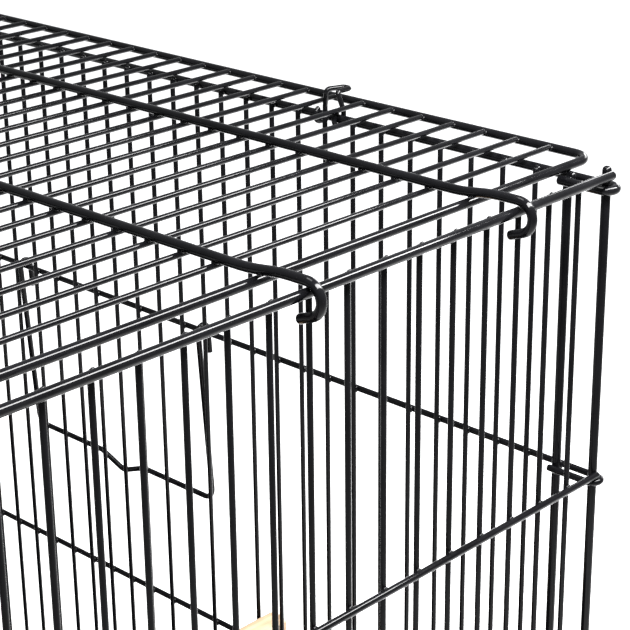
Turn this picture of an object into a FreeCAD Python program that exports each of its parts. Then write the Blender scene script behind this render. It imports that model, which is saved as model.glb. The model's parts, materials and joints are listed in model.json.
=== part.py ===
"""Wire cage for rabbits and other small animals, with a lift-up wire roof.

Millimetres, +Z up. The origin is on the ground, under the middle of the cage.
+X is the right end, where the roof is hinged. +Y is the rear wall, with the
feeder hangers. -Y is the front wall, with the main door and the tray.
"""
import FreeCAD, Part
import math
import os

V = FreeCAD.Vector

# Stock: round steel wire and rod
WIRE = 2.2             # thin upright, roof and floor wires
ROD = 3.6              # outer frames, posts and roof hook rods
MID_ROD = 2.8          # rails across the middle of the walls, and small doors
WELD = 0.2             # how far welded wires sink into each other
GAP = 0.3              # air between pieces that move past each other
PIVOT_GAP = 0.08       # radial play of an eye that turns on a rod

# Cage body
END_PITCH = 17.6       # between upright wires of an end panel
END_COUNT = 26         # pitches across an end panel
SIDE_PITCH = 15.7      # between upright wires of the front and rear walls
SIDE_COUNT = 49        # pitches along a wall
WALL_SHIFT = 2.0       # the walls' wires are counted from this far inside the end wires
HALF_X = SIDE_PITCH * SIDE_COUNT / 2 + WALL_SHIFT
HALF_Y = END_PITCH * END_COUNT / 2
TOP_Z = 445.0          # end panel's top rail
END_RAIL_DROPS = {"top": 0.0, "upper": 122.0, "lower": 277.4, "low": 381.2, "bottom": 423.0}
WALL_RAIL_DROPS = {"top": 5.6, "upper": 124.9, "lower": 280.3, "low": 385.0, "bottom": 426.8}
TIP = 0.65             # how far a wire's low end stands past the rail it is welded to
END_TIP = 0.4          # top of an end wire, above the axis of the rail outside it
POST_TIP = 1.2
EYE_PLAY = 0.05        # between a corner post and the rail eyes round it

# Roof
ROOF_INSET = 19.7      # from the end panels' wires in to the roof frame
ROOF_OVERHANG = 17.7   # from the corner posts out to the roof frame
ROOF_CORNER = 8.0
ROOF_WIRE_PITCH = 16.2
ROOF_WIRE_COUNT = 44
HOOK_OFFSET = 3.2      # a hook rod lies this far beside an end wire
HOOK_WIRES = (3, 9, 17, 23)   # end wires, from the rear, that the hook rods lie beside
HOOK_BEND = 5.9        # radius of a hook's centre line
HOOK_TURN = 160.0
HOOK_TIP = 6.5
HOOK_RISE_START = 26.0
HOOK_RISE_END = 11.0

# Roof latches: a loop that turns on a wall's top rail, with a finger tab
LATCH_WIRE = 9         # the wall wire that it stands over, from a corner
LATCH_HALF_BASE = 5.3
LATCH_HALF_TOP = 3.0
LATCH_HALF_TAB = 1.7
LATCH_LEAD = 3.0       # straight run above the rail
LATCH_TOP = (1.5, 10.8)       # out and up from the rail
LATCH_TAB = (10.8, 10.2)
LATCH_WRAP = 250.0
LATCH_BEND = 1.35

# Feeder hangers: frames of rod that hook over the rear wall's upper rail
FEEDERS = {"right": (14, 23), "left": (35, 26)}   # wall wires at each side
FEEDER_INSET = 0.25    # side rods stand this many pitches inside those wires
FEEDER_HEIGHT = 89.5
FEEDER_SPAN = 3.1      # rail centre to the strand on each side of it
FEEDER_TIP = 12.0
FEEDER_CORNER = 6.0
FEEDER_NOTCH = (16.0, 6.5)    # half width and depth
FEEDER_LEAN = 3.7      # degrees that it leans out, hanging free

# Front doorway and door
DOOR_WIRES = (16, 33)
DOOR_SILL_Z = 100.0
DOOR_LAP = 5.0         # door above the upper rail and below the sill
DOOR_CORNER = 8.0
DOOR_OUT = 7.2         # door plane, out from the corner posts
HINGE_ZS = (150.0, 275.0)
BOLT_Z = 212.0
BOLT_OUT = 11.8
BOLT_ENDS = (72.0, 128.5)
BOLT_GRIP = 9.0

# Floor, tray and feet
FLOOR_CROSS_YS = (-216.0, -72.0, 72.0, 216.0)
TRAY_REST_COUNT = 9
TRAY_HALF_X = 378.0
TRAY_REAR_Y = HALF_Y - 9.0
TRAY_FRONT_Y = -HALF_Y - 6.0
TRAY_Z = (22.9, 48.0)
TRAY_FRONT_TOP = 56.0
TRAY_SHEET = 1.8
TRAY_RIM = 3.0
TRAY_GRIP = (45.0, 12.0)      # half width and reach
FOOT_RADIUS = 10.0
FOOT_HEIGHT = 15.5
POST_BOTTOM = 5.0

# Perch
PERCH_PITCHES = 11.5
PERCH_RADIUS = 9.5
PERCH_TONGUE = 12.0    # thickness of the flattened ends, between two wall wires
PERCH_NOTCH = 1.2

# Positions worked out from those
RAIL_SINK = 0.3                                  # end wires into the rails they cross
RAIL_X = HALF_X + (ROD + WIRE) / 2 - RAIL_SINK   # end panels' top and bottom rails
POST_X = HALF_X - 0.3                            # corner posts
FACE_Y = HALF_Y + ROD / 2 + EYE_PLAY                 # inner face of the walls' rails
WALL_WIRE_Y = FACE_Y - WIRE / 2 + 0.1
ROOF_Z = TOP_Z - WALL_RAIL_DROPS["top"] + ROD + GAP
ROOF_WIRE_Z = ROOF_Z + (ROD - WIRE) / 2
HOOK_ROD_Z = ROOF_Z + ROD - 0.05
ROOF_X = HALF_X - ROOF_INSET
ROOF_Y = HALF_Y + ROOF_OVERHANG


def rail_dia(name):
    """The top and bottom rails are rod, those between them are thinner."""
    return ROD if name in ("top", "bottom") else MID_ROD


def rail_y(dia):
    """How far out a wall rail of this diameter lies."""
    return FACE_Y + dia / 2


def end_rail_z(name):
    return TOP_Z - END_RAIL_DROPS[name]


def wall_rail_z(name):
    return TOP_Z - WALL_RAIL_DROPS[name]


def wall_x(index):
    """X of a wall's upright wire, counted from the right corner."""
    return HALF_X - WALL_SHIFT - SIDE_PITCH * index


def rod(start, end, dia):
    """A straight round rod between two points."""
    start, end = V(*start), V(*end)
    run = end - start
    return Part.makeCylinder(dia / 2, run.Length, start, run)


def domed_rod(start, end, dia):
    """A straight rod with a round end at its end point."""
    return rod(start, end, dia).fuse(Part.makeSphere(dia / 2, V(*end))).removeSplitter()


def bent_path(points, radius, closed=False):
    """Edges of straight runs joined by tangent arcs."""
    pts = [V(*p) for p in points]
    count = len(pts)
    corners = range(count) if closed else range(1, count - 1)
    cuts = {}
    for i in corners:
        back = (pts[i - 1] - pts[i]).normalize()
        ahead = (pts[(i + 1) % count] - pts[i]).normalize()
        half = back.getAngle(ahead) / 2
        trim = radius / math.tan(half)
        middle = (back + ahead).normalize() * (radius / math.sin(half) - radius)
        cuts[i] = (pts[i] + back * trim, pts[i] + middle, pts[i] + ahead * trim)
    edges = []
    for i in range(count if closed else count - 1):
        k = (i + 1) % count
        start = cuts[i][2] if i in cuts else pts[i]
        end = cuts[k][0] if k in cuts else pts[k]
        edges.append(Part.makeLine(start, end))
        if k in cuts:
            edges.append(Part.Arc(*cuts[k]).toShape())
    return edges


def swept(edges, dia):
    """A round rod along a chain of tangent edges."""
    path = Part.Wire(edges)
    first = edges[0]
    start = first.valueAt(first.FirstParameter)
    along = first.tangentAt(first.FirstParameter)
    ring = Part.Wire(Part.makeCircle(dia / 2, start, along))
    body = path.makePipeShell([ring], True, False)
    wanted = math.pi * dia * dia / 4 * path.Length
    if not body.isValid() or abs(body.Volume / wanted - 1) > 0.02:
        raise ValueError("a bent rod came out wrong: %.3f" % (body.Volume / wanted))
    return body


def bent_rod(points, dia, radius, closed=False):
    return swept(bent_path(points, radius, closed), dia)


def arc_points(centre, radius, start, turn, plane):
    """First, middle and last points of an arc; plane maps (u, v) to a point."""
    out = []
    for part in (0.0, 0.5, 1.0):
        a = math.radians(start + turn * part)
        out.append(plane(centre[0] + radius * math.cos(a), centre[1] + radius * math.sin(a)))
    return out


def mirrored(shape, axis):
    """The same piece on the other side of the middle of the cage."""
    normal = V(1, 0, 0) if axis == "x" else V(0, 1, 0)
    return shape.mirror(V(0, 0, 0), normal)


nodes = {}


def add(name, solids):
    nodes[name] = solids if isinstance(solids, list) else [solids]


def both_ends(name, solids):
    """An end panel's pieces, at the right end and mirrored to the left."""
    add("right_" + name, solids)
    add("left_" + name, [mirrored(s, "x") for s in solids])


def end_panels():
    wires, rails = [], []
    low, high = end_rail_z("bottom") - ROD / 2 - TIP, TOP_Z + END_TIP
    for i in range(1, END_COUNT):
        y = HALF_Y - END_PITCH * i
        wires.append(rod((HALF_X, y, low), (HALF_X, y, high), WIRE))
    for name in END_RAIL_DROPS:
        x, z = HALF_X + (rail_dia(name) + WIRE) / 2 - RAIL_SINK, end_rail_z(name)
        rails.append(rod((x, -HALF_Y, z), (x, HALF_Y, z), rail_dia(name)))
    both_ends("end_wires", wires)
    both_ends("end_rails", rails)
    post = domed_rod((POST_X, HALF_Y, POST_BOTTOM), (POST_X, HALF_Y, TOP_Z + POST_TIP), ROD)
    add("corner_post_rear_right", post)
    add("corner_post_rear_left", mirrored(post, "x"))
    add("corner_post_front_right", mirrored(post, "y"))
    add("corner_post_front_left", mirrored(mirrored(post, "y"), "x"))


def half_wall_rail(name, inner_x):
    """A rail from inner_x to the right corner, with a flat eye round the corner post."""
    dia, z = rail_dia(name), wall_rail_z(name)
    reach = rail_y(dia) - HALF_Y
    near, far = HALF_Y - reach, HALF_Y + reach
    turn = Part.Arc(V(POST_X, far, z), V(POST_X + reach, HALF_Y, z), V(POST_X, near, z))
    tail_x = wall_x(1) - ROD / 2
    return [
        Part.makeLine(V(inner_x, far, z), V(POST_X, far, z)),
        turn.toShape(),
        Part.makeLine(V(POST_X, near, z), V(tail_x, near, z)),
    ]


def wall_rail(name):
    """A whole rail, with an eye at both ends."""
    right = half_wall_rail(name, -POST_X)
    tail, turn = half_wall_rail(name, 0.0)[:0:-1]
    left = [Part.makeLine(flip(tail, 1), flip(tail, 0))]
    left.append(Part.Arc(flip(turn, 1), flip(turn, 0.5), flip(turn, 0)).toShape())
    return swept(left + right, rail_dia(name))


def flip(edge, part):
    """The point a part of the way along an edge, mirrored to the cage's left side."""
    first, last = edge.FirstParameter, edge.LastParameter
    point = edge.valueAt(first + (last - first) * part)
    return V(-point.x, point.y, point.z)


def wall_wires(gaps, low_name):
    """Thin upright wires; gaps gives, for some wires, the stretch that is left out."""
    wires = []
    low = wall_rail_z(low_name) - rail_dia(low_name) / 2 - TIP
    high = wall_rail_z("top") + 0.9
    for i in range(2, SIDE_COUNT - 1):
        if i in DOOR_WIRES and low_name == "low":
            continue
        x = wall_x(i)
        stretches = [(low, high)]
        if i in gaps:
            stretches = [(low, gaps[i][0]), (gaps[i][1], high)]
        for start, end in stretches:
            wires.append(rod((x, WALL_WIRE_Y, start), (x, WALL_WIRE_Y, end), WIRE))
    return wires


def wall_posts(low_name):
    low = wall_rail_z(low_name) - ROD / 2
    high = wall_rail_z("top") + 0.9
    return [rod((x, HALF_Y, low), (x, HALF_Y, high), ROD) for x in (wall_x(1), -wall_x(1))]


def rear_wall():
    add("rear_wall_wires", wall_wires({}, "bottom"))
    add("rear_wall_rails", [wall_rail(name) for name in WALL_RAIL_DROPS])
    add("rear_wall_posts", wall_posts("bottom"))


def front_wall():
    """Modelled on the rear side and mirrored to the front."""
    header_z = wall_rail_z("upper")
    first, last = DOOR_WIRES
    gaps = {}
    for i in range(first + 1, last):
        gaps[i] = (DOOR_SILL_Z + MID_ROD / 2 + TIP / 2, header_z - MID_ROD / 2)
    rails = [wall_rail(name) for name in WALL_RAIL_DROPS if name != "lower"]
    half = swept(half_wall_rail("lower", wall_x(first) - 1.0), MID_ROD)
    rails += [half, mirrored(half, "x")]
    low = wall_rail_z("low") - MID_ROD / 2
    high = wall_rail_z("top") + 0.9
    frame = [rod((x, HALF_Y, low), (x, HALF_Y, high), ROD) for x in (wall_x(first), wall_x(last))]
    y, reach = rail_y(MID_ROD), wall_x(first) + 2.5
    frame.append(rod((-reach, y, DOOR_SILL_Z), (reach, y, DOOR_SILL_Z), MID_ROD))
    for name, solids in (
        ("front_wall_wires", wall_wires(gaps, "low")),
        ("front_wall_rails", rails),
        ("front_wall_posts", wall_posts("low")),
        ("front_doorway_frame", frame),
    ):
        add(name, [mirrored(s, "y") for s in solids])


def floor_and_feet():
    wires, cross, rests = [], [], []
    reach = rail_y(MID_ROD) + 1.0
    z = wall_rail_z("low") + MID_ROD / 2 + WIRE / 2 - 0.1
    for i in range(SIDE_COUNT):
        x = wall_x(i + 0.5)
        wires.append(rod((x, -reach, z), (x, reach, z), WIRE))
    end = HALF_X - WIRE
    for y in FLOOR_CROSS_YS:
        cross_z = z - WIRE / 2 - MID_ROD / 2 + 0.1
        cross.append(rod((-end, y, cross_z), (end, y, cross_z), MID_ROD))
    add("floor_wires", wires)
    add("floor_cross_rods", cross)
    rest_z = wall_rail_z("bottom") + ROD / 2 + MID_ROD / 2 - WELD
    spacing = (SIDE_COUNT - 3) / (TRAY_REST_COUNT - 1)
    reach = rail_y(ROD) + 1.0
    for i in range(TRAY_REST_COUNT):
        x = wall_x(1.5 + round(i * spacing))
        rests.append(rod((x, -reach, rest_z), (x, reach, rest_z), MID_ROD))
    add("tray_rest_rods", rests)
    foot = Part.makeCylinder(FOOT_RADIUS, FOOT_HEIGHT, V(POST_X, HALF_Y, 0))
    foot = foot.makeChamfer(1.5, [e for e in foot.Edges if e.Closed])
    bore = Part.makeCylinder(ROD / 2, FOOT_HEIGHT, V(POST_X, HALF_Y, POST_BOTTOM))
    foot = foot.cut(bore)
    add("foot_rear_right", foot)
    add("foot_rear_left", mirrored(foot, "x"))
    add("foot_front_right", mirrored(foot, "y"))
    add("foot_front_left", mirrored(mirrored(foot, "y"), "x"))


def roof():
    corners = [(ROOF_X, -ROOF_Y), (ROOF_X, ROOF_Y), (-ROOF_X, ROOF_Y), (-ROOF_X, -ROOF_Y)]
    start = (ROOF_X, 0.0)
    loop = [start] + corners[1:] + corners[:1]
    points = [(x, y, ROOF_Z) for x, y in loop]
    add("roof_frame", bent_rod(points + [points[0]], ROD, ROOF_CORNER))
    first = ROOF_WIRE_PITCH * (ROOF_WIRE_COUNT - 1) / 2
    reach = ROOF_Y - ROD / 2 + WELD
    wires = []
    for i in range(ROOF_WIRE_COUNT):
        x = first - ROOF_WIRE_PITCH * i
        wires.append(rod((x, -reach, ROOF_WIRE_Z), (x, reach, ROOF_WIRE_Z), WIRE))
    add("roof_wires", wires)
    for number, index in enumerate(HOOK_WIRES, 1):
        side = -1 if index < END_COUNT / 2 else 1
        y = HALF_Y - END_PITCH * index + side * HOOK_OFFSET
        add("roof_hook_rod_%d" % number, hook_rod(y))


def hook_rod(y):
    """A rod across the roof that ends in a hook under the end panel's top rail."""
    top = TOP_Z + ROD + GAP
    centre = (RAIL_X, top - HOOK_BEND)
    arc = arc_points(centre, HOOK_BEND, 90, -HOOK_TURN, lambda u, v: V(u, y, v))
    heading = math.radians(-HOOK_TURN)
    tip = arc[2] + V(math.cos(heading), 0, math.sin(heading)) * HOOK_TIP
    run = [
        (-ROOF_X - 1.0, y, HOOK_ROD_Z),
        (RAIL_X - HOOK_RISE_START, y, HOOK_ROD_Z),
        (RAIL_X - HOOK_RISE_END, y, top),
        (RAIL_X, y, top),
    ]
    edges = bent_path(run, 60.0)
    edges += [Part.Arc(*arc).toShape(), Part.makeLine(arc[2], tip)]
    return swept(edges, ROD)


def roof_latch():
    """The rear right latch: an eye round the top rail at each foot, and a finger tab."""
    rail = V(wall_x(LATCH_WIRE), rail_y(ROD), wall_rail_z("top"))
    eye = ROD / 2 + PIVOT_GAP + WIRE / 2

    def at(x, out, up):
        return rail + V(x, out, up)

    def foot(x):
        """Eye from its free end round to the outer side, where the leg leaves it."""
        return arc_points((0, 0), eye, -LATCH_WRAP, LATCH_WRAP, lambda u, v: at(x, u, v))

    right, left = foot(LATCH_HALF_BASE), foot(-LATCH_HALF_BASE)
    points = [
        right[2], at(LATCH_HALF_BASE, eye, LATCH_LEAD), at(LATCH_HALF_TOP, *LATCH_TOP),
        at(LATCH_HALF_TAB, *LATCH_TAB), at(-LATCH_HALF_TAB, *LATCH_TAB),
        at(-LATCH_HALF_TOP, *LATCH_TOP), at(-LATCH_HALF_BASE, eye, LATCH_LEAD), left[2],
    ]
    bends = bent_path([tuple(p) for p in points], LATCH_BEND)
    edges = [Part.Arc(*right).toShape()] + bends + [Part.Arc(*reversed(left)).toShape()]
    return swept(edges, WIRE)


def roof_latches():
    latch = roof_latch()
    add("roof_latch_rear_right", latch)
    add("roof_latch_rear_left", mirrored(latch, "x"))
    add("roof_latch_front_right", mirrored(latch, "y"))
    add("roof_latch_front_left", mirrored(mirrored(latch, "y"), "x"))


def feeder_hanger(name, first, last):
    """A frame hooked over the rear wall's upper rail, its foot outside the wires."""
    rail = V(0, rail_y(MID_ROD), wall_rail_z("upper"))
    inward = FEEDER_INSET if first < last else -FEEDER_INSET
    xs = sorted((wall_x(first + inward), wall_x(last - inward)))
    inner, outer = rail.y - FEEDER_SPAN, rail.y + FEEDER_SPAN
    bottom = rail.z - FEEDER_HEIGHT
    half, depth = FEEDER_NOTCH
    middle = (xs[0] + xs[1]) / 2

    def hook(x):
        """Over the rail, from the tip outside to the long strand inside."""
        tip = V(x, outer, rail.z - FEEDER_TIP)
        over = arc_points((rail.y, rail.z), FEEDER_SPAN, 0, 180, lambda u, v: V(x, u, v))
        return [Part.makeLine(tip, over[0]), Part.Arc(*over).toShape()], over[2]

    left_edges, left_top = hook(xs[0])
    right_edges, right_top = hook(xs[1])
    strand = [
        tuple(left_top), (xs[0], inner, bottom), (middle - half, inner, bottom),
        (middle, inner, bottom - depth), (middle + half, inner, bottom),
        (xs[1], inner, bottom), tuple(right_top),
    ]
    right_back = []
    for edge in reversed(right_edges):
        first_point = edge.valueAt(edge.LastParameter)
        last_point = edge.valueAt(edge.FirstParameter)
        if edge.Curve.TypeId == "Part::GeomLine":
            right_back.append(Part.makeLine(first_point, last_point))
        else:
            mid_point = edge.valueAt((edge.FirstParameter + edge.LastParameter) / 2)
            right_back.append(Part.Arc(first_point, mid_point, last_point).toShape())
    frame = swept(left_edges + bent_path(strand, FEEDER_CORNER) + right_back, MID_ROD)
    lean = FreeCAD.Rotation(V(1, 0, 0), FEEDER_LEAN)
    turn = FreeCAD.Placement(V(0, 0, 0), lean, rail)
    frame.Placement = turn.multiply(frame.Placement)
    add("feeder_hanger_%s" % name, [frame])


def front_door():
    plane = -(HALF_Y + DOOR_OUT)
    left, right = wall_x(DOOR_WIRES[1]), wall_x(DOOR_WIRES[0])
    low, high = DOOR_SILL_Z - DOOR_LAP, wall_rail_z("upper") + DOOR_LAP
    loop = [(0, low), (right, low), (right, high), (left, high), (left, low), (0, low)]
    points = [(x, plane, z) for x, z in loop]
    add("front_door_frame", bent_rod(points, ROD, DOOR_CORNER))
    start, end = low + ROD / 2 - WELD, high - ROD / 2 + WELD
    wires = []
    for i in range(DOOR_WIRES[0] + 1, DOOR_WIRES[1]):
        wires.append(rod((wall_x(i), plane, start), (wall_x(i), plane, end), WIRE))
    for z in (BOLT_Z - 45.0, BOLT_Z + 45.0):
        y = plane - WIRE + WELD
        wires.append(rod((left + 1.4, y, z), (right - 1.4, y, z), WIRE))
    add("front_door_wires", wires)
    for place, z in zip(("lower", "upper"), HINGE_ZS):
        add("front_door_hinge_" + place, hinge_ring(left, plane, z))


def hinge_ring(x, plane, z):
    """A flat wire ring round the doorway post and the door's side rod."""
    radius = ROD / 2 + PIVOT_GAP + WIRE / 2
    post = -HALF_Y
    far = Part.Arc(V(x + radius, plane, z), V(x, plane - radius, z), V(x - radius, plane, z))
    near = Part.Arc(V(x - radius, post, z), V(x, post + radius, z), V(x + radius, post, z))
    edges = [
        Part.makeLine(V(x + radius, (post + plane) / 2, z), V(x + radius, plane, z)),
        far.toShape(),
        Part.makeLine(V(x - radius, plane, z), V(x - radius, post, z)),
        near.toShape(),
        Part.makeLine(V(x + radius, post, z), V(x + radius, (post + plane) / 2, z)),
    ]
    return swept(edges, WIRE)


def bolt_and_keeper():
    y = -(HALF_Y + BOLT_OUT)
    start, end = BOLT_ENDS
    points = [(start, y - BOLT_GRIP, BOLT_Z), (start, y, BOLT_Z), (end, y, BOLT_Z)]
    add("front_door_bolt", bent_rod(points, ROD, 3.5))
    ring = ROD / 2 + PIVOT_GAP + WIRE / 2
    eyes = []
    for i in (DOOR_WIRES[0] + 1, DOOR_WIRES[0] + 2):
        eyes.append(Part.makeTorus(ring, WIRE / 2, V(wall_x(i), y, BOLT_Z), V(1, 0, 0)))
    add("front_door_bolt_eyes", eyes)
    x = wall_x(DOOR_WIRES[0] - 1)
    reach, root = ROD / 2 + GAP + WIRE / 2, -(WALL_WIRE_Y + WIRE / 2 - WELD)
    turn = arc_points((y, BOLT_Z), reach, 90, 180, lambda u, v: V(x, u, v))
    edges = [
        Part.makeLine(V(x, root, BOLT_Z + reach), turn[0]),
        Part.Arc(*turn).toShape(),
        Part.makeLine(turn[2], V(x, root, BOLT_Z - reach)),
    ]
    add("front_bolt_keeper", swept(edges, WIRE))


def tray():
    low, high = TRAY_Z
    length = TRAY_REAR_Y - TRAY_FRONT_Y
    corner = V(-TRAY_HALF_X, TRAY_FRONT_Y, low)
    pan = Part.makeBox(2 * TRAY_HALF_X, length, high - low, corner)
    front = Part.makeBox(2 * TRAY_HALF_X, TRAY_SHEET, TRAY_FRONT_TOP - low, corner)
    rim_low = V(-TRAY_HALF_X - TRAY_RIM, TRAY_FRONT_Y, high - TRAY_SHEET)
    rim = Part.makeBox(2 * (TRAY_HALF_X + TRAY_RIM), length + TRAY_RIM, TRAY_SHEET, rim_low)
    hollow_start = corner + V(TRAY_SHEET, TRAY_SHEET, TRAY_SHEET)
    hollow = Part.makeBox(
        2 * (TRAY_HALF_X - TRAY_SHEET), length - 2 * TRAY_SHEET, high, hollow_start)
    add("tray_pan", pan.fuse([front, rim]).cut(hollow).removeSplitter())
    half, reach = TRAY_GRIP
    z = (low + TRAY_FRONT_TOP) / 2
    y = TRAY_FRONT_Y + WELD
    points = [(-half, y, z), (-half, y - reach, z), (half, y - reach, z), (half, y, z)]
    add("tray_grip", bent_rod(points, ROD, 5.0))


def perch():
    """A round dowel across the cage, its ends flattened to pass between two wires."""
    x = wall_x(PERCH_PITCHES)
    rail_z = wall_rail_z("lower")
    z = rail_z + MID_ROD / 2 + PERCH_RADIUS - PERCH_NOTCH + 0.05
    reach = rail_y(MID_ROD) + MID_ROD / 2 + 1.2
    dowel = Part.makeCylinder(PERCH_RADIUS, 2 * reach, V(x, -reach, z), V(0, 1, 0))
    shoulder = HALF_Y - 1.0
    size = 3 * PERCH_RADIUS
    for side in (-1, 1):
        start = shoulder if side > 0 else -shoulder - size
        for cheek in (x + PERCH_TONGUE / 2, x - PERCH_TONGUE / 2 - size):
            dowel = dowel.cut(Part.makeBox(size, size, size, V(cheek, start, z - size / 2)))
        seat_y = side * rail_y(MID_ROD)
        seat_radius = MID_ROD / 2 + 0.05
        groove = Part.makeCylinder(
            seat_radius, size, V(x - size / 2, seat_y, rail_z), V(1, 0, 0))
        slot = Part.makeBox(
            size, 2 * seat_radius, size,
            V(x - size / 2, seat_y - seat_radius, rail_z - size))
        dowel = dowel.cut(groove).cut(slot)
    add("perch_dowel", dowel)


end_panels()
rear_wall()
front_wall()
floor_and_feet()
roof()
roof_latches()
for side_name, (first_wire, last_wire) in FEEDERS.items():
    feeder_hanger(side_name, first_wire, last_wire)
front_door()
bolt_and_keeper()
tray()
perch()

os.makedirs("parts", exist_ok=True)
for node_name, node_solids in nodes.items():
    bad = [s for s in node_solids if not s.isValid()]
    shape = node_solids[0] if len(node_solids) == 1 else Part.makeCompound(node_solids)
    shape.exportStep("parts/%s.step" % node_name)
    print(node_name, len(node_solids), "solids", "BAD" if bad else "ok")
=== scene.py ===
import json
import math

import bmesh
import bpy
from mathutils import Matrix, Vector
from mathutils.geometry import intersect_line_line

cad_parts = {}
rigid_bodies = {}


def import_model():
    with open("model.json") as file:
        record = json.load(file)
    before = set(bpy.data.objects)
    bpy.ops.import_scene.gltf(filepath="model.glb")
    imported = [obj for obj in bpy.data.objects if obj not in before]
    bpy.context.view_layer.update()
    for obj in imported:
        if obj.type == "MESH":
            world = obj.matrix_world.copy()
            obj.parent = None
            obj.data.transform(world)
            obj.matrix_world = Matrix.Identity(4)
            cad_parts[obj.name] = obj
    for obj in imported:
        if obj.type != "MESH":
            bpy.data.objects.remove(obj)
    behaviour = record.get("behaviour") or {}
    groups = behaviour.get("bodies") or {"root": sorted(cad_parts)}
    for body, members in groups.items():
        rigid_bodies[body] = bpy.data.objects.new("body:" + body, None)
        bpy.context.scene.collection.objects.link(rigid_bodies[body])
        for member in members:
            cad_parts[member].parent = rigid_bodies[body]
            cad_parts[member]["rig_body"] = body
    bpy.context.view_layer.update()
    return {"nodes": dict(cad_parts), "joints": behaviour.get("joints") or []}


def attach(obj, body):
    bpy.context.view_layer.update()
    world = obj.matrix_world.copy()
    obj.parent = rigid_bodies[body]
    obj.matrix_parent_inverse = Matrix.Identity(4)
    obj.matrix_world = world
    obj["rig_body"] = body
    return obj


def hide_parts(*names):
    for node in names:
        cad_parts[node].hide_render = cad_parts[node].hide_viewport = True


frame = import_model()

MM = 0.001
SAME_POINT = 1e-6          # CAD mesh points nearer than this are one point

# Round stock
SIDES = 20                 # faces round a rod
ARC_STEP = math.radians(8.0)
CUT_ROUND = 0.55           # rounding of a cut end, as a part of its radius
DOME_ROUND = 0.95          # the same for the corner posts' domed tops

# Welds
TOUCH = 0.12 * MM          # rods nearer than this are welded
CROSSING = 0.5             # least sine of the angle between two welded rods
OVERRUN = 1.6              # a weld may lie this many radii of the other rod past an end
BEAD = (1.55, 1.45, 0.8)   # bead's half sizes, as parts of the thinner rod's radius

# Moulded pieces
TRAY_EDGE = 0.6 * MM
FOOT_EDGE = 0.5 * MM
BEVEL_SEGMENTS = 3
FLAT_ANGLE = math.radians(1.0)     # faces nearer than this in direction are one face
EDGE_ANGLE = math.radians(30.0)    # edges sharper than this are rounded
SHADE_ANGLE = math.radians(35.0)

# Bends that a box round the piece can't give
ROOF_CORNER = 8.0 * MM
DOOR_CORNER = 8.0 * MM
HOOK_RISE = (26.0 * MM, 11.0 * MM)   # the rise's start and end, inside the hinge line
HOOK_EASE = 60.0 * MM
HOOK_TURN = math.radians(160.0)
HOOK_TIP = 6.5 * MM

HINGE_X = next(j for j in frame["joints"] if j["name"] == "roof_hinge")["pos_m"][0]

# Camera
CAMERA_PLACE = (0.76565, -0.3214, 0.6527)
CAMERA_AZIMUTH = math.radians(43.85)
CAMERA_ELEVATION = math.radians(21.68)
CAMERA_ROLL = math.radians(-0.67)
CAMERA_LENS = 107.47       # in mm, as is the sensor's width
CAMERA_SENSOR = 36.0
CAMERA_NEAR = 0.02

# Studio
FLOOR_HALF = 14.0
FLOOR_COLOUR = (0.86, 0.86, 0.865)
SKY_COLOUR = (0.97, 0.985, 1.0)
SKY_STRENGTH = 0.8
EXPOSURE = -0.45
LAMPS = (                  # name, place, target, (width, height), watts
    ("side_strip", (0.545, 0.25, 0.76), (0.389, 0.25, 0.445), (0.76, 0.12), 40.0),
    ("back_soft", (-0.6, 3.6, 1.3), (-1.1, 1.9, 0.0), (2.6, 0.8), 90.0),
    ("overhead_soft", (-0.4, -0.2, 2.6), (-0.4, -0.2, 0.0), (1.1, 1.0), 80.0),
)


# ---------------------------------------------------------------- reading the frame

def solids(node):
    """The corner points of each separate solid in a CAD node."""
    bm = bmesh.new()
    bm.from_mesh(frame["nodes"][node].data)
    bmesh.ops.remove_doubles(bm, verts=bm.verts, dist=SAME_POINT)
    groups = []
    for first in bm.verts:
        if first.tag:
            continue
        first.tag = True
        queue, group = [first], []
        while queue:
            vert = queue.pop()
            group.append(vert.co.copy())
            for edge in vert.link_edges:
                other = edge.other_vert(vert)
                if not other.tag:
                    other.tag = True
                    queue.append(other)
        groups.append(group)
    bm.free()
    return groups


def box_of(points):
    low = Vector([min(p[k] for p in points) for k in range(3)])
    high = Vector([max(p[k] for p in points) for k in range(3)])
    return low, high


def as_rod(points):
    """(start, end, radius) of a straight rod along an axis, cut square at its low end."""
    low, high = box_of(points)
    spans = high - low
    along = max(range(3), key=lambda k: spans[k])
    ring = [p for p in points if p[along] - low[along] < SAME_POINT]
    start = sum(ring, Vector()) / len(ring)
    end = start.copy()
    end[along] = high[along]
    return start, end, (ring[0] - start).length


def straight_rods(node):
    return [as_rod(points) for points in solids(node)]


# ---------------------------------------------------------------- centre lines

def arc(centre, radius, start, turn, u, v):
    """Points of an arc in the plane of the unit vectors u and v."""
    steps = max(2, math.ceil(abs(turn) / ARC_STEP))
    angles = [start + turn * i / steps for i in range(steps + 1)]
    return [centre + (u * math.cos(a) + v * math.sin(a)) * radius for a in angles]


def rounded(corners, radius, closed=False):
    """A line through the corners with each bend rounded to the radius."""
    count = len(corners)
    line = []
    for i, point in enumerate(corners):
        if not closed and i in (0, count - 1):
            line.append(point)
            continue
        back = (corners[i - 1] - point).normalized()
        ahead = (corners[(i + 1) % count] - point).normalized()
        turn = math.pi - back.angle(ahead)
        centre = point + (back + ahead).normalized() * (radius / math.cos(turn / 2))
        start = point + back * radius * math.tan(turn / 2)
        u = (start - centre).normalized()
        v = -back
        line += arc(centre, radius, 0.0, turn, u, v)
    return line


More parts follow.
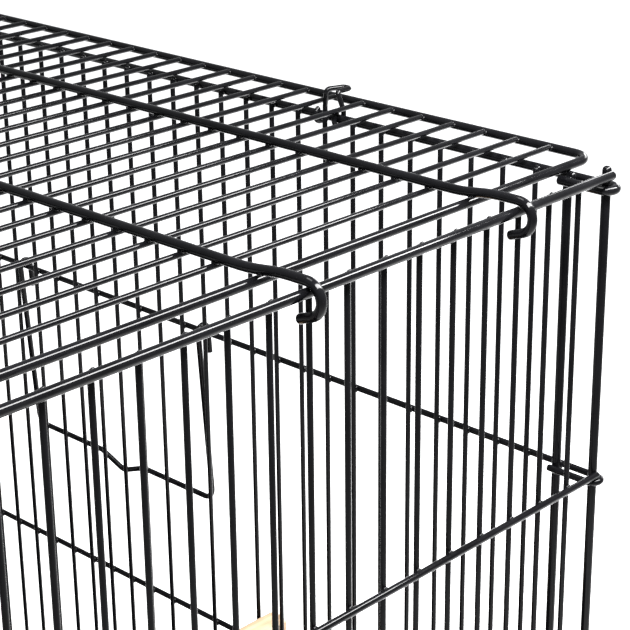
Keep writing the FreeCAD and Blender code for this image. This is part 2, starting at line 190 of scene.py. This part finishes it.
def wall_rail_line(points, tail_x):
    """Centre line of a wall rail with an eye round each corner post, and its long run."""
    low, high = box_of(points)
    side = 1 if low.y + high.y > 0 else -1
    radius = (high.z - low.z) / 2
    reach = (high.y - low.y) / 2 - radius
    post_y, z = (low.y + high.y) / 2, (low.z + high.z) / 2
    post_x = max(high.x, -low.x) - reach - radius
    out = Vector((0, side, 0))
    line = []
    if low.x < 0:
        centre = Vector((-post_x, post_y, z))
        line.append(Vector((-tail_x, post_y, z)) - out * reach)
        line += arc(centre, reach, -math.pi / 2, -math.pi, Vector((1, 0, 0)), out)
    else:
        line.append(Vector((low.x, post_y, z)) + out * reach)
    start = line[-1]
    if high.x > 0:
        centre = Vector((post_x, post_y, z))
        line += arc(centre, reach, math.pi / 2, -math.pi, Vector((1, 0, 0)), out)
        line.append(Vector((tail_x, post_y, z)) - out * reach)
        end = centre + out * reach
    else:
        end = Vector((high.x, post_y, z)) + out * reach
        line.append(end)
    return line, (start, end, radius)


def hook_line(points):
    """Centre line of a roof hook rod, and its long run."""
    low, high = box_of(points)
    radius, y = (high.y - low.y) / 2, (high.y + low.y) / 2
    bend = high.x - HINGE_X - radius
    top = high.z - radius
    ring = [p for p in points if p.x - low.x < SAME_POINT]
    level = sum(p.z for p in ring) / len(ring)
    run = [
        Vector((low.x, y, level)), Vector((HINGE_X - HOOK_RISE[0], y, level)),
        Vector((HINGE_X - HOOK_RISE[1], y, top)), Vector((HINGE_X, y, top)),
    ]
    line = rounded(run, HOOK_EASE)
    centre = Vector((HINGE_X, y, top - bend))
    line += arc(centre, bend, math.pi / 2, -HOOK_TURN, Vector((1, 0, 0)), Vector((0, 0, 1)))[1:]
    heading = Vector((math.cos(HOOK_TURN), 0, -math.sin(HOOK_TURN)))
    line.append(line[-1] + heading * HOOK_TIP)
    return line, (run[0], run[1], radius)


def loop_line(points, corner):
    """Centre line of a flat rectangular frame of rod, and its four sides."""
    low, high = box_of(points)
    spans = high - low
    flat = min(range(3), key=lambda k: spans[k])
    radius = spans[flat] / 2
    a, b = [k for k in range(3) if k != flat]
    corners = []
    for at_a, at_b in ((0, 0), (1, 0), (1, 1), (0, 1)):
        point = (low + high) / 2
        point[a] = high[a] - radius if at_a else low[a] + radius
        point[b] = high[b] - radius if at_b else low[b] + radius
        corners.append(point)
    sides = [(corners[i - 1], corners[i], radius) for i in range(4)]
    return rounded(corners, corner, closed=True), sides


# ---------------------------------------------------------------- meshes

def add_ring(bm, centre, across, up, radius):
    ring = []
    for i in range(SIDES):
        a = 2 * math.pi * i / SIDES
        ring.append(bm.verts.new(centre + (across * math.cos(a) + up * math.sin(a)) * radius))
    return ring


def bridge(bm, rings):
    for one, two in zip(rings, rings[1:]):
        for i in range(SIDES):
            k = (i + 1) % SIDES
            bm.faces.new((one[i], one[k], two[k], two[i])).smooth = True


def add_tube(bm, line, radius, closed=False, end_round=CUT_ROUND):
    """A round rod along a line, its cut ends a little rounded by the coating."""
    count = len(line)
    heads = []
    for i in range(count):
        before = line[i - 1] if closed or i > 0 else line[0]
        after = line[(i + 1) % count] if closed or i < count - 1 else line[-1]
        heads.append((after - before).normalized())
    across = heads[0].orthogonal().normalized()
    rings = []
    for i, (point, head) in enumerate(zip(line, heads)):
        across = (across - head * across.dot(head)).normalized()
        up = head.cross(across)
        if not closed and i in (0, count - 1):
            rings += end_rings(bm, point, head, across, up, radius, end_round, i == 0)
        else:
            rings.append(add_ring(bm, point, across, up, radius))
    if closed:
        bridge(bm, rings + rings[:1])
    else:
        bridge(bm, rings)
        bm.faces.new(reversed(rings[0]))
        bm.faces.new(rings[-1])


def end_rings(bm, point, head, across, up, radius, end_round, first):
    """Rings of a rounded end, in the order in which the tube runs."""
    edge = radius * end_round
    inward = head if first else -head
    rings = []
    for step in range(4):
        a = math.pi / 2 * step / 3
        centre = point + inward * edge * (1 - math.cos(a))
        rings.append(add_ring(bm, centre, across, up, radius - edge + edge * math.sin(a)))
    return rings if first else rings[::-1]


def add_bead(bm, spot, along, across, radius):
    """A flattened bead of coating where two rods are welded."""
    axes = [along.normalized(), across.normalized(), along.cross(across).normalized()]
    shape = Matrix([axes[k] * BEAD[k] * radius for k in range(3)]).transposed().to_4x4()
    made = bmesh.ops.create_icosphere(
        bm, subdivisions=2, radius=1.0, matrix=Matrix.Translation(spot) @ shape)
    for vert in made["verts"]:
        for face in vert.link_faces:
            face.smooth = True


def add_welds(bm, rods, others):
    """A bead wherever one of the rods touches one of the others."""
    for start, end, radius in rods:
        run = end - start
        for o_start, o_end, o_radius in others:
            o_run = o_end - o_start
            near = intersect_line_line(start, end, o_start, o_end)
            if near is None or run.normalized().cross(o_run.normalized()).length < CROSSING:
                continue
            on, other = near
            part = (on - start).dot(run) / run.length_squared
            o_part = (other - o_start).dot(o_run) / o_run.length_squared
            slack = OVERRUN * o_radius / run.length
            o_slack = OVERRUN * radius / o_run.length
            if not (-slack <= part <= 1 + slack and -o_slack <= o_part <= 1 + o_slack):
                continue
            if (on - other).length > radius + o_radius + TOUCH:
                continue
            on = start + run * min(max(part, 0.0), 1.0)
            spot = on.lerp(other, radius / (radius + o_radius))
            add_bead(bm, spot, run, o_run, min(radius, o_radius))


def make_piece(name, bm, material, node):
    """An object from bm that stands for a CAD node and rides on its body."""
    bmesh.ops.recalc_face_normals(bm, faces=bm.faces)
    mesh = bpy.data.meshes.new(name)
    bm.to_mesh(mesh)
    bm.free()
    mesh.materials.append(material)
    piece = bpy.data.objects.new(name, mesh)
    bpy.context.scene.collection.objects.link(piece)
    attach(piece, frame["nodes"][node]["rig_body"])
    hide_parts(node)
    return piece


# ---------------------------------------------------------------- materials

def new_material(name):
    """A material, its node tree and shader, and its place on the object."""
    material = bpy.data.materials.new(name)
    material.use_nodes = True
    tree = material.node_tree
    shader = tree.nodes["Principled BSDF"]
    place = tree.nodes.new("ShaderNodeTexCoord").outputs["Object"]
    return material, tree, shader, place


def noise(tree, place, scale, detail=3.0, stretch=(1, 1, 1), roughness=0.5):
    mapping = tree.nodes.new("ShaderNodeMapping")
    mapping.inputs["Scale"].default_value = stretch
    tree.links.new(place, mapping.inputs["Vector"])
    texture = tree.nodes.new("ShaderNodeTexNoise")
    texture.inputs["Scale"].default_value = scale
    texture.inputs["Detail"].default_value = detail
    texture.inputs["Roughness"].default_value = roughness
    tree.links.new(mapping.outputs["Vector"], texture.inputs["Vector"])
    return texture.outputs["Fac"]


def ramp(tree, factor, stops):
    node = tree.nodes.new("ShaderNodeValToRGB")
    elements = node.color_ramp.elements
    while len(elements) < len(stops):
        elements.new(0.5)
    for element, (position, colour) in zip(elements, stops):
        element.position = position
        element.color = (*colour, 1.0)
    tree.links.new(factor, node.inputs["Fac"])
    return node.outputs["Color"]


def spread(tree, factor, low, high, start=0.3, end=0.7):
    """Maps the middle of a texture's range onto low to high."""
    node = tree.nodes.new("ShaderNodeMapRange")
    node.inputs["From Min"].default_value = start
    node.inputs["From Max"].default_value = end
    node.inputs["To Min"].default_value = low
    node.inputs["To Max"].default_value = high
    tree.links.new(factor, node.inputs["Value"])
    return node.outputs["Result"]


def bump(tree, shader, heights):
    """Chains bumps of (height output, distance, strength)."""
    last = None
    for height, distance, strength in heights:
        node = tree.nodes.new("ShaderNodeBump")
        node.inputs["Distance"].default_value = distance
        node.inputs["Strength"].default_value = strength
        tree.links.new(height, node.inputs["Height"])
        if last:
            tree.links.new(last, node.inputs["Normal"])
        last = node.outputs["Normal"]
    tree.links.new(last, shader.inputs["Normal"])


def coat_material():
    """Glossy black epoxy on steel wire: deep black, faint orange peel, a little dust."""
    material, tree, shader, place = new_material("black_coat")
    shade = noise(tree, place, 60.0, 4.0)
    specks = noise(tree, place, 2600.0, 1.0)
    colour = ramp(tree, shade, [(0.3, (0.0010, 0.0010, 0.0012)), (0.7, (0.0022, 0.0022, 0.0026))])
    dust = spread(tree, specks, 0.0, 0.03, 0.72, 0.80)
    mix = tree.nodes.new("ShaderNodeMix")
    mix.data_type = "RGBA"
    tree.links.new(dust, mix.inputs["Factor"])
    tree.links.new(colour, mix.inputs["A"])
    mix.inputs["B"].default_value = (0.25, 0.24, 0.22, 1.0)
    tree.links.new(mix.outputs["Result"], shader.inputs["Base Color"])
    gloss = spread(tree, noise(tree, place, 240.0), 0.07, 0.13)
    tree.links.new(gloss, shader.inputs["Roughness"])
    shader.inputs["IOR"].default_value = 1.5
    shader.inputs["Specular IOR Level"].default_value = 0.10
    peel = noise(tree, place, 700.0, 2.0)
    sag = noise(tree, place, 130.0, 2.0)
    bump(tree, shader, [(sag, 0.00012, 0.16), (peel, 0.00003, 0.12)])
    return material


def plastic_material(name, dark, light, grain, roughness):
    """Moulded plastic with a fine grain and slightly uneven gloss."""
    material, tree, shader, place = new_material(name)
    shade = noise(tree, place, 25.0, 5.0)
    tree.links.new(ramp(tree, shade, [(0.3, dark), (0.7, light)]), shader.inputs["Base Color"])
    wear = noise(tree, place, 90.0, 6.0, roughness=0.7)
    rough = spread(tree, wear, roughness - 0.06, roughness + 0.08)
    tree.links.new(rough, shader.inputs["Roughness"])
    shader.inputs["IOR"].default_value = 1.48
    fine = noise(tree, place, grain, 1.0)
    scuff = noise(tree, place, 45.0, 8.0, stretch=(1, 6, 1), roughness=0.75)
    bump(tree, shader, [(fine, 0.00006, 0.5), (scuff, 0.00015, 0.18)])
    return material


def wood_material():
    """Bare sanded softwood with its grain along the perch."""
    material, tree, shader, place = new_material("perch_wood")
    broad = noise(tree, place, 95.0, 3.0, stretch=(1, 0.05, 1))
    fine = noise(tree, place, 900.0, 5.0, stretch=(1, 0.02, 1), roughness=0.65)
    pale = ramp(tree, broad, [
        (0.30, (0.22, 0.14, 0.078)), (0.47, (0.32, 0.215, 0.13)), (0.70, (0.39, 0.275, 0.175))])
    streaks = ramp(tree, fine, [(0.35, (0.66, 0.55, 0.45)), (0.55, (1.0, 1.0, 1.0))])
    mix = tree.nodes.new("ShaderNodeMix")
    mix.data_type = "RGBA"
    mix.blend_type = "MULTIPLY"
    mix.inputs["Factor"].default_value = 0.6
    tree.links.new(pale, mix.inputs["A"])
    tree.links.new(streaks, mix.inputs["B"])
    tree.links.new(mix.outputs["Result"], shader.inputs["Base Color"])
    tree.links.new(spread(tree, fine, 0.5, 0.72), shader.inputs["Roughness"])
    bump(tree, shader, [(fine, 0.00015, 0.6), (broad, 0.0003, 0.3)])
    return material


# ---------------------------------------------------------------- the cage

def build_rods(coat):
    """Every node of round stock, and what is welded to what."""
    runs, lines = {}, {}
    for node in (
        "right_end_wires", "right_end_rails", "left_end_wires", "left_end_rails",
        "rear_wall_wires", "rear_wall_posts", "front_wall_wires", "front_wall_posts",
        "front_doorway_frame", "floor_wires", "floor_cross_rods", "tray_rest_rods",
        "roof_wires", "front_door_wires", "corner_post_rear_right",
        "corner_post_rear_left", "corner_post_front_right", "corner_post_front_left",
    ):
        runs[node] = straight_rods(node)
        lines[node] = [([start, end], radius, False) for start, end, radius in runs[node]]
    for wall in ("rear", "front"):
        tail_x = min(p.x for p in sum(solids(wall + "_wall_posts"), []) if p.x > 0)
        made = [wall_rail_line(points, tail_x) for points in solids(wall + "_wall_rails")]
        runs[wall + "_wall_rails"] = [run for line, run in made]
        lines[wall + "_wall_rails"] = [(line, run[2], False) for line, run in made]
    hooks = [node for node in frame["nodes"] if node.startswith("roof_hook_rod")]
    for node in hooks:
        line, run = hook_line(solids(node)[0])
        runs[node] = [run]
        lines[node] = [(line, run[2], False)]
    for node, corner in (("roof_frame", ROOF_CORNER), ("front_door_frame", DOOR_CORNER)):
        line, sides = loop_line(solids(node)[0], corner)
        runs[node] = sides
        lines[node] = [(line, sides[0][2], True)]
    welded = {
        "right_end_wires": ["right_end_rails"],
        "left_end_wires": ["left_end_rails"],
        "rear_wall_wires": ["rear_wall_rails"],
        "rear_wall_posts": ["rear_wall_rails"],
        "front_wall_wires": ["front_wall_rails", "front_doorway_frame"],
        "front_wall_posts": ["front_wall_rails"],
        "front_doorway_frame": ["front_wall_rails"],
        "floor_wires": ["floor_cross_rods", "rear_wall_rails", "front_wall_rails"],
        "tray_rest_rods": ["rear_wall_rails", "front_wall_rails"],
        "roof_wires": ["roof_frame"] + hooks,
        "front_door_wires": ["front_door_frame"],
    }
    welded.update({node: ["roof_frame"] for node in hooks})
    for node in sorted(lines):
        bm = bmesh.new()
        end_round = DOME_ROUND if node.startswith("corner_post") else CUT_ROUND
        for line, radius, closed in lines[node]:
            add_tube(bm, line, radius, closed, end_round)
        for other in welded.get(node, []):
            add_welds(bm, runs[node], runs[other])
        make_piece("coated_" + node, bm, coat, node)


def bevelled(node, material, width):
    """A moulded piece: the CAD node's shape with its edges rounded."""
    bm = bmesh.new()
    bm.from_mesh(frame["nodes"][node].data)
    bmesh.ops.remove_doubles(bm, verts=bm.verts, dist=SAME_POINT)
    bmesh.ops.dissolve_limit(
        bm, angle_limit=FLAT_ANGLE, verts=bm.verts, edges=bm.edges)
    sharp = [e for e in bm.edges if len(e.link_faces) == 2
             and e.calc_face_angle() > EDGE_ANGLE]
    bmesh.ops.bevel(
        bm, geom=sharp, offset=width, offset_type="OFFSET", segments=BEVEL_SEGMENTS,
        profile=0.5, affect="EDGES", clamp_overlap=True)
    for face in bm.faces:
        face.smooth = True
    piece = make_piece("moulded_" + node, bm, material, node)
    piece.data.set_sharp_from_angle(angle=SHADE_ANGLE)


def finish_small_nodes(coat, wood):
    """The small bent pieces and the perch keep their CAD mesh, with a real finish."""
    for name, node in frame["nodes"].items():
        if node.hide_render:
            continue
        node.data.materials.clear()
        node.data.materials.append(wood if name == "perch_dowel" else coat)


# ---------------------------------------------------------------- studio

def area_light(name, place, target, size, power):
    light = bpy.data.lights.new(name, "AREA")
    light.shape = "RECTANGLE"
    light.size, light.size_y = size
    light.energy = power
    lamp = bpy.data.objects.new(name, light)
    bpy.context.scene.collection.objects.link(lamp)
    lamp.location = place
    lamp.visible_camera = False
    lamp.rotation_euler = (Vector(target) - Vector(place)).to_track_quat("-Z", "Y").to_euler()


def studio():
    """A pale floor and surroundings, a strip over the end rail, soft back and top lights."""
    scene = bpy.context.scene
    mesh = bpy.data.meshes.new("studio_floor")
    half = FLOOR_HALF
    corners = [(-half, -half, 0), (half, -half, 0), (half, half, 0), (-half, half, 0)]
    mesh.from_pydata(corners, [], [(0, 1, 2, 3)])
    floor = bpy.data.objects.new("studio_floor", mesh)
    scene.collection.objects.link(floor)
    material, _, shader, _ = new_material("studio_floor")
    shader.inputs["Base Color"].default_value = (*FLOOR_COLOUR, 1.0)
    shader.inputs["Roughness"].default_value = 0.85
    shader.inputs["Specular IOR Level"].default_value = 0.1
    mesh.materials.append(material)
    world = bpy.data.worlds.new("studio")
    scene.world = world
    world.use_nodes = True
    background = world.node_tree.nodes["Background"]
    background.inputs["Color"].default_value = (*SKY_COLOUR, 1.0)
    background.inputs["Strength"].default_value = SKY_STRENGTH
    for lamp in LAMPS:
        area_light(*lamp)
    scene.view_settings.view_transform = "Standard"
    scene.view_settings.exposure = EXPOSURE


def camera():
    data = bpy.data.cameras.new("camera")
    data.lens = CAMERA_LENS
    data.sensor_width = CAMERA_SENSOR
    data.clip_start = CAMERA_NEAR
    eye = bpy.data.objects.new("camera", data)
    bpy.context.scene.collection.objects.link(eye)
    turn = Matrix.Rotation(CAMERA_AZIMUTH, 4, "Z")
    tilt = Matrix.Rotation(math.pi / 2 - CAMERA_ELEVATION, 4, "X")
    roll = Matrix.Rotation(CAMERA_ROLL, 4, "Z")
    eye.matrix_world = Matrix.Translation(CAMERA_PLACE) @ turn @ tilt @ roll
    bpy.context.scene.camera = eye


black_coat = coat_material()
tray_plastic = plastic_material(
    "tray_plastic", (0.018, 0.018, 0.02), (0.03, 0.03, 0.032), 2400.0, 0.42)
foot_plastic = plastic_material(
    "foot_plastic", (0.012, 0.012, 0.013), (0.022, 0.022, 0.023), 3200.0, 0.55)
build_rods(black_coat)
bevelled("tray_pan", tray_plastic, TRAY_EDGE)
for corner in ("rear_right", "rear_left", "front_right", "front_left"):
    bevelled("foot_" + corner, foot_plastic, FOOT_EDGE)
finish_small_nodes(black_coat, wood_material())
studio()
camera()
